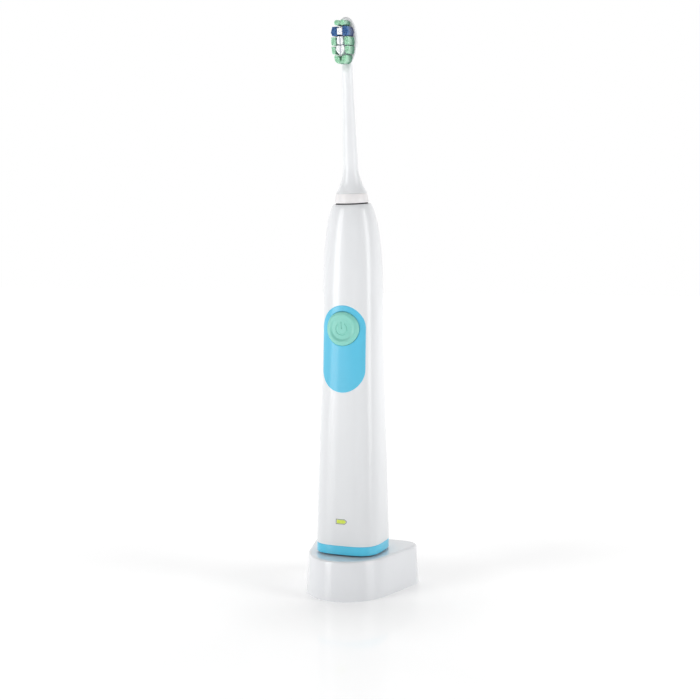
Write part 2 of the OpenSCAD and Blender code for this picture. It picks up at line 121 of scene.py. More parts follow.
# Brush head, along the shaft from the neck
HEAD_FOOT = 0.35
COLLAR_TOP = 4.72
COLLAR_R = 7.3
COLLAR_SEAT_R = 6.1
STEM_LOW_R = 3.45
STEM_TOP_R = 2.5
PLATE_HALF_W = 5.35
PLATE_HALF_LEN = 10.7
PLATE_MID = 74.05
PLATE_FRONT = -0.8
PLATE_BACK = 2.1
TUFT_LEN = 7.2
SOCKET_R = 2.0


# ---------------------------------------------------------------- small helpers

def lerp(a, b, t):
    return a + (b - a) * t


def smooth(t):
    t = max(0.0, min(1.0, t))
    return t * t * (3 - 2 * t)


def power(value, exponent):
    return math.copysign(abs(value) ** exponent, value)


def on_shaft(x, y, s):
    """A point in the shaft's own axes, s along the shaft from the neck, as a point in the frame."""
    c, d = math.cos(LEAN), math.sin(LEAN)
    return NECK + Vector((x, y * c - s * d, y * d + s * c))


def upright(x, y, z):
    return Vector((x, y, z))


def facing_front(z):
    """Turns a revolved profile's height into distance towards the front, round an axis at height z."""
    return lambda x, y, h: Vector((x, -h, z + y))


def facing_back(z):
    """As facing_front, but towards the back."""
    return lambda x, y, h: Vector((-x, h, z + y))


def resample(points, count):
    """The closed polyline as count points spaced evenly along it, from its first point."""
    lengths = [0.0]
    loop = points + points[:1]
    for a, b in zip(loop, loop[1:]):
        lengths.append(lengths[-1] + math.dist(a, b))
    out = []
    k = 0
    for i in range(count):
        want = lengths[-1] * i / count
        while lengths[k + 1] < want:
            k += 1
        t = (want - lengths[k]) / (lengths[k + 1] - lengths[k])
        out.append((lerp(loop[k][0], loop[k + 1][0], t), lerp(loop[k][1], loop[k + 1][1], t)))
    return out


def rounded(corners, closed=False, steps=5):
    """A profile from corners (u, v, radius), with an arc at each corner that has a radius."""
    out = []
    n = len(corners)
    for i, (u, v, radius) in enumerate(corners):
        if radius == 0 or (not closed and i in (0, n - 1)):
            out.append((u, v))
            continue
        p = Vector((u, v))
        to_last = Vector(corners[i - 1][:2]) - p
        to_next = Vector(corners[(i + 1) % n][:2]) - p
        half = to_last.angle(to_next) / 2
        reach = min(radius / math.tan(half), 0.49 * to_last.length, 0.49 * to_next.length)
        radius = reach * math.tan(half)
        bisector = (to_last.normalized() + to_next.normalized()).normalized()
        centre = p + bisector * (radius / math.sin(half))
        a = p + to_last.normalized() * reach - centre
        b = p + to_next.normalized() * reach - centre
        turn = a.angle_signed(b)
        for k in range(steps + 1):
            angle = -turn * k / steps
            c, s = math.cos(angle), math.sin(angle)
            out.append((centre.x + a.x * c - a.y * s, centre.y + a.x * s + a.y * c))
    return out


class Shape:
    """Vertices in millimetres and faces, gathered before they become one mesh."""

    def __init__(self):
        self.verts = []
        self.faces = []
        self.tones = []

    def rows(self, rows, wrap=False):
        """Joins rows of points that run round the piece. A row of one point is a pole."""
        starts = []
        for row in rows:
            starts.append(len(self.verts))
            self.verts.extend(row)
        pairs = list(zip(range(len(rows)), range(1, len(rows))))
        if wrap:
            pairs.append((len(rows) - 1, 0))
        for a, b in pairs:
            n = max(len(rows[a]), len(rows[b]))
            for i in range(n):
                j = (i + 1) % n
                if len(rows[a]) == 1:
                    self.faces.append((starts[a], starts[b] + j, starts[b] + i))
                elif len(rows[b]) == 1:
                    self.faces.append((starts[a] + i, starts[a] + j, starts[b]))
                else:
                    self.faces.append((starts[a] + i, starts[a] + j, starts[b] + j, starts[b] + i))
        return self

    def revolve(self, profile, place=upright, count=96, wrap=False):
        """Turns a profile of (radius, height) round its axis, which place() puts in the frame."""
        rows = []
        for r, h in profile:
            if r < 1e-6:
                rows.append([place(0, 0, h)])
            else:
                angles = (2 * math.pi * i / count - math.pi / 2 for i in range(count))
                rows.append([place(r * math.cos(a), r * math.sin(a), h) for a in angles])
        return self.rows(rows, wrap)


def make_piece(name, shape, material, body, replaced=(), sharp=40):
    """One visible piece: its mesh, finish and body, and the CAD nodes that it stands for."""
    mesh = bpy.data.meshes.new(name)
    mesh.from_pydata([v * MM for v in shape.verts], [], shape.faces)
    mesh.validate()
    mesh.update()
    mesh.polygons.foreach_set("use_smooth", [True] * len(mesh.polygons))
    mesh.set_sharp_from_angle(angle=math.radians(sharp))
    if shape.tones:
        tone = mesh.attributes.new("tone", "FLOAT", "POINT")
        tone.data.foreach_set("value", [t[0] for t in shape.tones])
        along = mesh.attributes.new("along", "FLOAT", "POINT")
        along.data.foreach_set("value", [t[1] for t in shape.tones])
    piece = bpy.data.objects.new(name, mesh)
    bpy.context.scene.collection.objects.link(piece)
    mesh.materials.append(material)
    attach(piece, body)
    if replaced:
        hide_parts(*replaced)
    return piece


# ---------------------------------------------------------------- materials

class Finish:
    """A procedural material in the making: a Principled shader and the nodes that feed it."""

    def __init__(self, name):
        self.material = bpy.data.materials.new(name)
        self.material.use_nodes = True
        self.tree = self.material.node_tree
        self.shader = self.tree.nodes["Principled BSDF"]
        self.coords = self.add("ShaderNodeTexCoord").outputs["Object"]

    def add(self, kind, **settings):
        made = self.tree.nodes.new(kind)
        for key, value in settings.items():
            setattr(made, key, value)
        return made

    def link(self, output, socket):
        self.tree.links.new(output, socket)

    def scaled(self, stretch):
        mapping = self.add("ShaderNodeMapping")
        mapping.inputs["Scale"].default_value = stretch
        self.link(self.coords, mapping.inputs["Vector"])
        return mapping.outputs["Vector"]

    def noise(self, size_mm, detail=2.0, stretch=(1, 1, 1)):
        """Noise whose features are about size_mm across."""
        made = self.add("ShaderNodeTexNoise")
        made.inputs["Scale"].default_value = 1 / (size_mm * MM)
        made.inputs["Detail"].default_value = detail
        self.link(self.scaled(stretch), made.inputs["Vector"])
        return made.outputs["Fac"]

    def remap(self, value, low, high, start=0.35, end=0.65):
        made = self.add("ShaderNodeMapRange")
        made.inputs["From Min"].default_value = start
        made.inputs["From Max"].default_value = end
        made.inputs["To Min"].default_value = low
        made.inputs["To Max"].default_value = high
        self.link(value, made.inputs["Value"])
        return made.outputs["Result"]

    def mix(self, factor, a, b):
        """Mixes two colours, each an output or a tuple."""
        made = self.add("ShaderNodeMix", data_type="RGBA")
        self.link(factor, made.inputs["Factor"])
        for socket, colour in ((made.inputs[6], a), (made.inputs[7], b)):
            if isinstance(colour, tuple):
                socket.default_value = (*colour, 1)
            else:
                self.link(colour, socket)
        return made.outputs[2]

    def bump(self, height, strength, depth_mm, after=None):
        made = self.add("ShaderNodeBump")
        made.inputs["Strength"].default_value = strength
        made.inputs["Distance"].default_value = depth_mm * MM
        self.link(height, made.inputs["Height"])
        if after is not None:
            self.link(after, made.inputs["Normal"])
        return made.outputs["Normal"]

    def edges(self):
        """How strongly the surface sticks out here: 1 on sharp edges, 0 elsewhere."""
        return self.remap(self.add("ShaderNodeNewGeometry").outputs["Pointiness"], 0, 1, 0.52, 0.60)

    def edge_wear_and_highlight(self, body, amount, edge_colour):
        """The body's colour, with its edges taken towards edge_colour by amount, partly as wear and partly as a
        painted highlight.
        """
        soft = self.add("ShaderNodeMath", operation="MULTIPLY")
        soft.inputs[1].default_value = amount
        self.link(self.edges(), soft.inputs[0])
        return self.mix(soft.outputs[0], body, edge_colour)

    def set(self, **values):
        """Sets the shader's own sockets, named with underscores for spaces."""
        for name, value in values.items():
            self.shader.inputs[name.replace("_", " ")].default_value = value


def shade(colour, factor):
    return tuple(min(1.0, c * factor) for c in colour)


def moulded(name, colour, rough=0.35, grain_mm=0.12, grain=0.15, vary=0.03, coat=0.0, wear_and_highlight=0.25,
            subsurface=0.0, sheen=0.0, specular=0.5):
    """Moulded plastic or rubber: fine texture, faint flow marks, and edges painted a little lighter, partly as
    wear and partly as a painted highlight.
    """
    f = Finish(name)
    flow = f.noise(9, 3, (1, 1, 0.35))
    body = f.mix(f.remap(flow, 0, 1), shade(colour, 1 - vary), shade(colour, 1 + vary))
    if wear_and_highlight:
        body = f.edge_wear_and_highlight(body, wear_and_highlight, shade(colour, 1.12))
    f.link(body, f.shader.inputs["Base Color"])
    f.link(f.remap(f.noise(5, 2), rough * 0.93, rough * 1.08), f.shader.inputs["Roughness"])
    fine = f.bump(f.noise(grain_mm, 2), grain, 0.02)
    f.link(f.bump(f.noise(6, 1, (1, 1, 0.4)), 0.05, 0.15, fine), f.shader.inputs["Normal"])
    f.set(Specular_IOR_Level=specular, Coat_Weight=coat, Coat_Roughness=0.12, Sheen_Weight=sheen)
    if subsurface:
        f.set(Subsurface_Weight=subsurface, Subsurface_Radius=(1.0, 0.95, 0.9), Subsurface_Scale=0.8 * MM)
    return f.material


def metal(name, colour, rough=0.3, stretch=(1, 1, 12)):
    """Turned, drawn or stamped metal: fine lines along one way, smudges, and edges painted brighter, partly as
    wear and partly as a painted highlight.
    """
    f = Finish(name)
    f.set(Metallic=1.0)
    body = f.mix(f.remap(f.noise(4, 4), 0, 1), shade(colour, 0.86), shade(colour, 1.05))
    f.link(f.edge_wear_and_highlight(body, 0.5, shade(colour, 1.35)), f.shader.inputs["Base Color"])
    f.link(f.remap(f.noise(1.6, 5), rough * 0.75, rough * 1.3), f.shader.inputs["Roughness"])
    f.link(f.bump(f.noise(0.25, 3, stretch), 0.3, 0.01), f.shader.inputs["Normal"])
    return f.material


def winding(name, colour, pitch_mm=0.32):
    """Enamelled wire wound side by side, its turns stacked along Z."""
    f = Finish(name)
    wave = f.add("ShaderNodeTexWave", wave_type="BANDS", bands_direction="Z", wave_profile="SIN")
    wave.inputs["Scale"].default_value = 1 / (pitch_mm * MM * 20 / (2 * math.pi))
    wave.inputs["Distortion"].default_value = 0.6
    wave.inputs["Detail Scale"].default_value = 2
    f.link(f.coords, wave.inputs["Vector"])
    turn = wave.outputs["Fac"]
    # Painted highlight and painted shade: each turn is lighter along its crest and darker in the crease between
    # turns
    f.link(f.mix(turn, shade(colour, 0.35), shade(colour, 1.1)), f.shader.inputs["Base Color"])
    f.set(Metallic=0.8, Coat_Weight=0.6)
    f.link(f.remap(f.noise(1.2, 3), 0.2, 0.4), f.shader.inputs["Roughness"])
    f.link(f.bump(turn, 0.8, 0.12), f.shader.inputs["Normal"])
    return f.material


def circuit_board(name, mask):
    """Solder mask over copper tracks, which show as slightly raised, lighter lines."""
    f = Finish(name)
    tracks = f.add("ShaderNodeTexBrick", offset=0.5)
    tracks.inputs["Scale"].default_value = 1 / (9 * MM)
    tracks.inputs["Mortar Size"].default_value = 0.018
    tracks.inputs["Mortar Smooth"].default_value = 0.1
    swap = f.add("ShaderNodeMapping")
    swap.inputs["Rotation"].default_value = (math.pi / 2, 0, 0)
    f.link(f.coords, swap.inputs["Vector"])
    f.link(swap.outputs["Vector"], tracks.inputs["Vector"])
    line = tracks.outputs["Fac"]
    f.link(f.mix(line, mask, shade(mask, 2.2)), f.shader.inputs["Base Color"])
    f.link(f.remap(f.noise(2.5, 3), 0.25, 0.42), f.shader.inputs["Roughness"])
    f.link(f.bump(line, 0.6, 0.04, f.bump(f.noise(0.3, 2), 0.2, 0.01)), f.shader.inputs["Normal"])
    f.set(Coat_Weight=0.3)
    return f.material


def bristle(name, tip, painted_root_shade, shift, deep, glow=0.0):
    """Nylon filaments: paler at the rounded tips and darker down between them by painted shade, each a slightly
    different tone.

    deep is the share of their length at which the painted shade is darkest, glow a painted glow that they give off
    though they are no lamp.
    """
    f = Finish(name)
    along = f.add("ShaderNodeAttribute", attribute_name="along").outputs["Fac"]
    tone = f.add("ShaderNodeAttribute", attribute_name="tone").outputs["Fac"]
    # Painted shade: darker down towards the roots, where the filaments shade each other
    base = f.mix(f.remap(along, 0, 1, deep, 0.985), painted_root_shade, tip)
    paler = f.mix(f.remap(tone, 0, 1, 0.0, 1.0), shade(tip, 1 - shift), shade(tip, 1 + shift))
    amount = f.add("ShaderNodeMath", operation="MULTIPLY")
    amount.inputs[1].default_value = 0.45
    f.link(along, amount.inputs[0])
    colour = f.mix(amount.outputs[0], base, paler)
    f.link(colour, f.shader.inputs["Base Color"])
    # A painted glow: the filaments give off their own colour as light, by the amount glow
    f.link(colour, f.shader.inputs["Emission Color"])
    f.material.cycles.emission_sampling = "NONE"
    f.link(f.remap(f.noise(0.6, 2), 0.28, 0.45), f.shader.inputs["Roughness"])
    f.link(f.bump(f.noise(0.2, 1, (1, 0.1, 1)), 0.2, 0.01), f.shader.inputs["Normal"])
    f.set(Emission_Strength=glow, Subsurface_Weight=0.15, Subsurface_Radius=(1, 1, 1),
          Subsurface_Scale=0.4 * MM)
    return f.material


def lit(name, colour, strength):
    """A light guide with a lamp behind it, a little uneven in brightness."""
    f = Finish(name)
    glow = f.mix(f.remap(f.noise(1.5, 2), 0, 1), shade(colour, 0.9), shade(colour, 1.06))
    f.link(glow, f.shader.inputs["Base Color"])
    f.link(glow, f.shader.inputs["Emission Color"])
    f.set(Emission_Strength=strength)
    f.link(f.remap(f.noise(0.8, 2), 0.15, 0.3), f.shader.inputs["Roughness"])
    f.link(f.bump(f.noise(0.15, 2), 0.1, 0.01), f.shader.inputs["Normal"])
    f.material.cycles.emission_sampling = "NONE"
    return f.material


FINISHES = {
    "charger_white": moulded("charger_white", (0.895, 0.91, 0.935), rough=0.34, grain=0.06, coat=0.8,
                             vary=0.008, wear_and_highlight=0),
    "base_grey": moulded("base_grey", (0.50, 0.51, 0.53), rough=0.55, grain=0.5, grain_mm=0.25),
    "foot_rubber": moulded("foot_rubber", (0.035, 0.035, 0.04), rough=0.75, grain=0.5, specular=0.3),
    "steel": metal("steel", (0.62, 0.62, 0.63), rough=0.28),
    "ferrite": moulded("ferrite", (0.05, 0.05, 0.055), rough=0.65, grain=0.6, grain_mm=0.3),
    "black_plastic": moulded("black_plastic", (0.02, 0.02, 0.022), rough=0.42, grain=0.3),
    "copper_wire": winding("copper_wire", (0.72, 0.34, 0.16)),
    "circuit_board": circuit_board("circuit_board", (0.012, 0.11, 0.045)),
    "capacitor_sleeve": moulded("capacitor_sleeve", (0.03, 0.06, 0.20), rough=0.25, coat=0.4),
    "handle_white": moulded("handle_white", (0.835, 0.848, 0.865), rough=0.32, grain=0.05, coat=0.4,
                            vary=0.006, wear_and_highlight=0),
    "grip_blue": moulded("grip_blue", (0.105, 0.575, 0.82), rough=0.40, coat=0.3, grain=0.2,
                         grain_mm=0.16, sheen=0.1, vary=0.02),
    "seal_rubber": moulded("seal_rubber", (0.03, 0.03, 0.033), rough=0.6, grain=0.3),
    "light_green": lit("light_green", (0.48, 0.58, 0.07), 0.42),
    "led_epoxy": lit("led_epoxy", (0.85, 0.90, 0.45), 0.4),
    "ring_blue": moulded("ring_blue", (0.088, 0.63, 0.89), rough=0.33, coat=0.3, vary=0.015),
    "cap_grey": moulded("cap_grey", (0.42, 0.43, 0.45), rough=0.5, grain=0.4, grain_mm=0.2),
    "battery_sleeve": moulded("battery_sleeve", (0.03, 0.10, 0.34), rough=0.22, coat=0.5),
    "foam_grey": moulded("foam_grey", (0.10, 0.10, 0.11), rough=0.9, grain=1.0, grain_mm=0.5, specular=0.2),
    "core_steel": metal("core_steel", (0.22, 0.22, 0.24), rough=0.5, stretch=(1, 14, 1)),
    "bush_bronze": metal("bush_bronze", (0.55, 0.38, 0.18), rough=0.45, stretch=(1, 1, 1)),
    "button_mint": moulded("button_mint", (0.26, 0.67, 0.57), rough=0.34, grain=0.15, grain_mm=0.15,
                           subsurface=0.1, vary=0.015),
    "magnet_nickel": metal("magnet_nickel", (0.66, 0.65, 0.62), rough=0.18, stretch=(1, 1, 1)),
    "ring_grey": moulded("ring_grey", (0.86, 0.84, 0.842), rough=0.35, grain=0.1, subsurface=0.35, vary=0.01),
    # Bristles: tip colour, the painted shade at their roots, the spread of tones, where the painted shade is
    # darkest, and a painted glow
    "bristle_green": bristle("bristle_green", (0.46, 0.80, 0.58), (0.01, 0.16, 0.08), 0.08, 0.35),
    "bristle_blue": bristle("bristle_blue", (0.05, 0.17, 0.42), (0.002, 0.01, 0.08), 0.12, 0.4),
    # The white filaments get a faint painted glow
    "bristle_white": bristle("bristle_white", (0.97, 0.98, 1.0), (0.30, 0.28, 0.52), 0.02, 0.3, 0.06),
}
SIGN_RIM = moulded("sign_rim", (0.30, 0.31, 0.30), rough=0.35)


# ---------------------------------------------------------------- the handle's own surface

def superellipse(w, n, count):
    """Evenly spaced points of a superellipse of half width w, from the front, to the right and round."""
    dense = []
    for i in range(720):
        a = 2 * math.pi * i / 720 - math.pi / 2
        dense.append((power(math.cos(a), 2 / n), power(math.sin(a), 2 / n)))
    return [(w * x, w * y) for x, y in resample(dense, count)]


def handle_section(z):
    """Half width, power, centre and lean of the handle at height z."""
    along = (z - FOOT_Z) / (SHOULDER_Z - FOOT_Z)
    if z < SHOULDER_Z:
        w = lerp(FOOT_W, SHOULDER_W, along)
        n = lerp(FOOT_POWER, SHOULDER_POWER, max(0, along))
    else:
        t = min(1.0, (z - SHOULDER_Z) / (NECK.z - SHOULDER_Z))
        w = NECK_R + (SHOULDER_W - NECK_R) * (1 - t ** SHOULDER_CURVE) ** (1 / SHOULDER_CURVE)
        n = lerp(SHOULDER_POWER, 2, t)
    bend = max(0.0, (z - LEAN_START) / (NECK.z - LEAN_START))
    return w, n, NECK.y * bend * bend, math.atan(math.tan(LEAN) * bend)


def handle_ring(z, inset, count):
    w, n, centre, lean = handle_section(z)
    ring = superellipse(w - inset, n, count)
    return [Vector((x, centre + y * math.cos(lean), z + y * math.sin(lean))) for x, y in ring]


def front_y(x, z):
    w, n, centre, _ = handle_section(z)
    return centre - w * (1 - min(1, abs(x / w)) ** n) ** (1 / n)


def on_front(x, z, height):
    """A point of the handle's front face, raised along the face's normal by height."""
    d = 0.05
    slope_x = (front_y(x + d, z) - front_y(x - d, z)) / (2 * d)
    slope_z = (front_y(x, z + d) - front_y(x, z - d)) / (2 * d)
    normal = Vector((slope_x, -1, slope_z)).normalized()
    return Vector((x, front_y(x, z), z)) + normal * height


def panel_depth(x, z):
    """How far (x, z) lies inside the grip panel's outline; negative outside."""
    z_near = max(PANEL_BOTTOM + PANEL_R, min(PANEL_TOP - PANEL_R, z))
    return PANEL_R - math.hypot(x, z - z_near)


def reach(inside, angle, centre_z, far):
    """Distance from (0, centre_z) along angle to where inside() stops holding."""
    near = 0.0
    for _ in range(40):
        mid = (near + far) / 2
        if inside(mid * math.cos(angle), centre_z + mid * math.sin(angle)):
            near = mid
        else:
            far = mid
    return near


# ---------------------------------------------------------------- handle pieces

def handle_housing():
    """The moulded shell, open under the grip panel, with a wall that thickens to the neck's bore."""
    count = 160
    edge = 0.16
    under_panel = 1.1
    lip_z, lip_blend = 174, 4
    quarter = [math.pi / 2 * k / 4 for k in range(5)]
    top = NECK.z - 0.25
    levels = [(FOOT_Z + edge * (1 - math.cos(a)), edge * (1 - math.sin(a))) for a in quarter]
    # Rows lie closest along the panel and where the shoulder curves in to the neck
    heights = [lerp(FOOT_Z + 3, PANEL_BOTTOM - 2, i / 20) for i in range(21)]
    heights += [lerp(PANEL_BOTTOM - 1, PANEL_TOP + 2, i / 44) for i in range(45)]
    heights += [lerp(PANEL_TOP + 4, SHOULDER_Z, i / 6) for i in range(7)]
    heights += [lerp(SHOULDER_Z, top - edge, math.sin(math.pi / 2 * i / 34)) for i in range(1, 35)]
    levels += [(z, 0) for z in heights]
    levels += [(top - edge * (1 - math.cos(a)), edge * (1 - math.sin(a))) for a in reversed(quarter[:-1])]

    outer = [handle_ring(z, inset, count) for z, inset in levels]
    inner = []
    for z, inset in levels:
        w = handle_section(z)[0]
        lip = smooth((z - lip_z) / lip_blend)
        inner.append(handle_ring(z, lerp(HANDLE_WALL, w - NECK_BORE, lip), count))

    shape = Shape()
    rows = len(levels)
    shape.verts = [v for row in outer for v in row] + [v for row in inner for v in row]
    shift = rows * count

    def kept(j, i):
        if not 0 <= j < rows - 1:
            return False
        i %= count
        corners = [outer[j][i], outer[j][(i + 1) % count], outer[j + 1][i], outer[j + 1][(i + 1) % count]]
        mid = sum(corners, Vector()) / 4
        return mid.y > 0 or panel_depth(mid.x, mid.z) < under_panel

    for j in range(rows - 1):
        for i in range(count):
            if not kept(j, i):
                continue
            k = (i + 1) % count
            a, b, c, d = j * count + i, j * count + k, (j + 1) * count + k, (j + 1) * count + i
            shape.faces.append((a, b, c, d))
            shape.faces.append((shift + d, shift + c, shift + b, shift + a))
            edges = (((j - 1, i), a, b), ((j, i + 1), b, c), ((j + 1, i), c, d), ((j, i - 1), d, a))
            for other, p, q in edges:
                if not kept(*other):
                    shape.faces.append((q, p, shift + p, shift + q))
    make_piece("housing", shape, FINISHES["handle_white"], "handle", ["handle_housing"])


def front_patch(angles, inner, outer, centre_z, profile_in, profile_out, steps):
    """A pad that follows the handle's front, between two outlines given as a reach for each angle.

    profile_in and profile_out list (distance from the outline, height) for the pad's two edges, outside in.
    """
    rows = []

    def row(distance_of, height):
        return [
            on_front(distance_of(k) * math.cos(a), centre_z + distance_of(k) * math.sin(a), height)
            for k, a in enumerate(angles)
        ]

    for away, height in profile_in:
        rows.append(row(lambda k: inner[k] + away, height))
    start, end = profile_in[-1], profile_out[-1]
    for i in range(1, steps):
        t = i / steps
        rows.append(row(lambda k: lerp(inner[k] + start[0], outer[k] - end[0], t), lerp(start[1], end[1], t)))
    for away, height in reversed(profile_out):
        rows.append(row(lambda k: outer[k] - away, height))
    # Rows run outwards while the angles turn left seen from the front, so each row is reversed
    return Shape().rows([list(reversed(r)) for r in rows], wrap=True)


def grip_panel():
    count = 192
    gap = 0.08
    angles = [2 * math.pi * i / count for i in range(count)]
    inner = [BUTTON_R + gap] * count
    outer = [reach(lambda x, z: panel_depth(x, z) > 0, a, BUTTON_Z, 60) for a in angles]
    profile_in = [(0, -0.55), (0, -0.25), (0.04, -0.1), (0.12, 0.0), (0.25, 0.05), (0.4, 0.06)]
    profile_out = [(0, -0.9), (0, -0.1), (0.03, -0.02), (0.09, 0.03), (0.18, 0.055), (0.3, 0.06)]
    shape = front_patch(angles, inner, outer, BUTTON_Z, profile_in, profile_out, 22)
    make_piece("grip_pad", shape, FINISHES["grip_blue"], "handle", ["grip_panel"])


def sign_outline(shrink):
    """Corners of the battery sign, a bar with a pointed end, as (x, z) round its centre."""
    w, h = SIGN_HALF_W - shrink, SIGN_HALF_H - shrink
    return [(-w, -h), (0.62 * w, -h), (w, -0.36 * h), (w, 0.36 * h), (0.62 * w, h), (-w, h)]


def inside_convex(corners, x, z):
    return all(
        (bx - ax) * (z - az) - (bz - az) * (x - ax) > 0
        for (ax, az), (bx, bz) in zip(corners, corners[1:] + corners[:1])
    )


def battery_sign():
    def reaches(shrink, angles):
        corners = sign_outline(shrink)
        return [reach(lambda x, z: inside_convex(corners, x, z - SIGN_Z), a, SIGN_Z, 9) for a in angles]

    corner_angles = [math.atan2(z, x) for x, z in sign_outline(0)]
    angles = sorted([2 * math.pi * i / 96 - math.pi for i in range(96)] + corner_angles)
    rim_width, gap = 0.34, 0.02
    rim_in = [(0, -0.3), (0, 0.02), (0.03, 0.05)]
    rim_out = [(0, -0.3), (0, 0.02), (0.04, 0.05)]
    rim = front_patch(angles, reaches(rim_width, angles), reaches(0, angles), SIGN_Z, rim_in, rim_out, 3)
    make_piece("battery_sign_rim", rim, SIGN_RIM, "handle", sharp=50)

    lens = Shape()
    edge = reaches(rim_width + gap, angles)
    rows = []
    for share, height in ((1, -0.5), (1, -0.02), (0.93, 0.015), (0.6, 0.03), (0.25, 0.03)):
        rows.append([
            on_front(d * share * math.cos(a), SIGN_Z + d * share * math.sin(a), height)
            for a, d in zip(angles, edge)
        ])
    rows.append([on_front(0, SIGN_Z, 0.03)])
    rows.insert(0, [on_front(0, SIGN_Z, -0.5)])
    lens.rows(rows)
    make_piece("battery_sign_light", lens, FINISHES["light_green"], "handle",
               ["battery_light"])


def power_button():
    """A cap that follows the handle's curve, with a rim, a shallow dish and the power sign sunk into it."""
    count = 192
    dish_r = BUTTON_R - 1.7
    shallow, deep = 0.12, 0.9
    proud = front_y(0, BUTTON_Z) - BUTTON_FRONT

    def crest(x):
        return proud - front_y(x, BUTTON_Z)

    def sign_depth(x, z):
        arc_r, gap, stroke = 2.7, math.radians(38), 0.27
        angle = math.atan2(x, z)
        if abs(angle) > gap:
            to_arc = abs(math.hypot(x, z) - arc_r)
        else:
            end = (arc_r * math.sin(gap), arc_r * math.cos(gap))
            to_arc = math.hypot(abs(x) - end[0], z - end[1])
        to_bar = math.hypot(x, z - max(0.3, min(3.2, z)))
        return 0.22 * (1 - smooth((min(to_arc, to_bar) - stroke + 0.1) / 0.22))

    place = facing_front(BUTTON_Z)
    angles = [2 * math.pi * k / count for k in range(count)]

    def face(x, z):
        # The dish gets deeper towards its lower end, with a soft wall where it meets the rim
        wall = smooth((dish_r - math.hypot(x, z)) / 1.5)
        fall = max(0.0, (dish_r - z) / (2 * dish_r)) ** 1.3
        return crest(x) - wall * lerp(shallow, deep, fall) - sign_depth(x, z)

    rows = [[place(0, 0, face(0, 0))]]
    steps = 56
    for i in range(1, steps + 1):
        r = dish_r * i / steps
        rows.append([place(r * math.cos(a), r * math.sin(a), face(r * math.cos(a), r * math.sin(a)))
                     for a in angles])
    rim = rounded([
        (dish_r, 0, 0), (dish_r + 0.4, 0, 0.5), (BUTTON_R - 0.25, 0.55, 0.6), (BUTTON_R, 0.88, 0),
    ])[1:]
    for r, drop in rim:
        spots = [(r * math.cos(a), r * math.sin(a)) for a in angles]
        rows.append([place(x, z, crest(x) - drop) for x, z in spots])
    # The flange that holds the button in, and the boss that presses the plunger
    flange_r, boss_r = BUTTON_R + 0.6, 2.2
    under = 0.8 - BUTTON_BACK
    over = under + 0.4
    for r, h in ((BUTTON_R, over), (flange_r, over), (flange_r, under), (boss_r, under),
                 (boss_r, -BUTTON_BACK)):
        rows.append([place(r * math.cos(a), r * math.sin(a), h) for a in angles])
    rows.append([place(0, 0, -BUTTON_BACK)])
    shape = Shape().rows(rows[::-1])
    make_piece("power_button_cap", shape, FINISHES["button_mint"], "button", ["power_button"])


def end_band():
    count = 160
    low, high = band_low.z, band_high.z
    wall = 1.3
    profile = rounded([(0, low, 0.2), (0, high, 0.2), (wall, high, 0), (wall, low, 0)], closed=True)
    rows = [
        [Vector((x, y, z)) for x, y in superellipse(FOOT_W - inset, FOOT_POWER, count)]
        for inset, z in profile
    ]
    shape = Shape().rows(rows, wrap=True)
    make_piece("foot_band", shape, FINISHES["ring_blue"], "handle", ["end_ring"])


# ---------------------------------------------------------------- charger pieces

def charger_outline(g, count):
    """The charger's outline, g larger all round, from the middle of its front, to the right and round."""
    w, f, r = CHARGER_HALF_W + g, CHARGER_FRONT + g, CHARGER_CORNER + g
    t = math.atan(f * math.tan(CHARGER_FLARE) / w)
    corner_y = CHARGER_BACK + g - r
    corner_x = w * math.cos(t) + ((corner_y + f * math.sin(t)) * math.sin(CHARGER_FLARE) - r) / math.cos(
        CHARGER_FLARE)
    right = []
    for i in range(161):
        a = lerp(-math.pi / 2, -t, i / 160)
        right.append((w * math.cos(a), f * math.sin(a)))
    for i in range(81):
        a = lerp(-CHARGER_FLARE, math.pi / 2, i / 80)
        right.append((corner_x + r * math.cos(a), corner_y + r * math.sin(a)))
    left = [(-x, y) for x, y in reversed(right[1:])]
    return resample(right + left, count)


